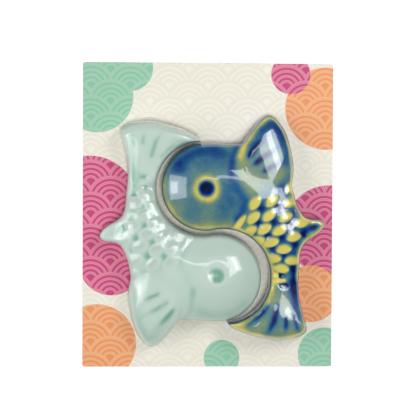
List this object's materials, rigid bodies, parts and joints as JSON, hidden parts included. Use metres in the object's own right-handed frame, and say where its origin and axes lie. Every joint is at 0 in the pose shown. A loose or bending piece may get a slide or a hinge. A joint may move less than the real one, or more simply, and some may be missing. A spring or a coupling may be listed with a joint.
{
  "type": "chopstick rest pack",
  "caption": "Pack of glazed ceramic fish-shaped chopstick rests, nested head to tail and glued to a printed backing card; each rest lifts off.",
  "frame": {"origin": "middle of the backing card's back face, which lies on the table", "axes": "+X to the card's right edge, +Y to its top edge, +Z out of the printed face"},
  "size_m": [0.07, 0.085, 0.0118],
  "materials": {
    "printed_card": "satin printed paperboard",
    "celadon_glaze": "glossy pale green celadon glaze",
    "cobalt_glaze": "glossy cobalt blue glaze breaking to ochre on raised edges",
    "glue": "soft clear peelable glue"
  },
  "bodies": {
    "card": {"backing_card": "printed_card", "celadon_head_glue_dot": "glue", "celadon_tail_glue_dot": "glue", "cobalt_head_glue_dot": "glue", "cobalt_tail_glue_dot": "glue"},
    "celadon": {"celadon_rest": "celadon_glaze"},
    "cobalt": {"cobalt_rest": "cobalt_glaze"}
  },
  "joints": [
    {"name": "celadon_lift", "type": "slide", "parent": "card", "child": "celadon", "axis": [0, 0, 1], "range_m": [0, 0.03]},
    {"name": "cobalt_lift", "type": "slide", "parent": "card", "child": "cobalt", "axis": [0, 0, 1], "range_m": [0, 0.03]}
  ]
}
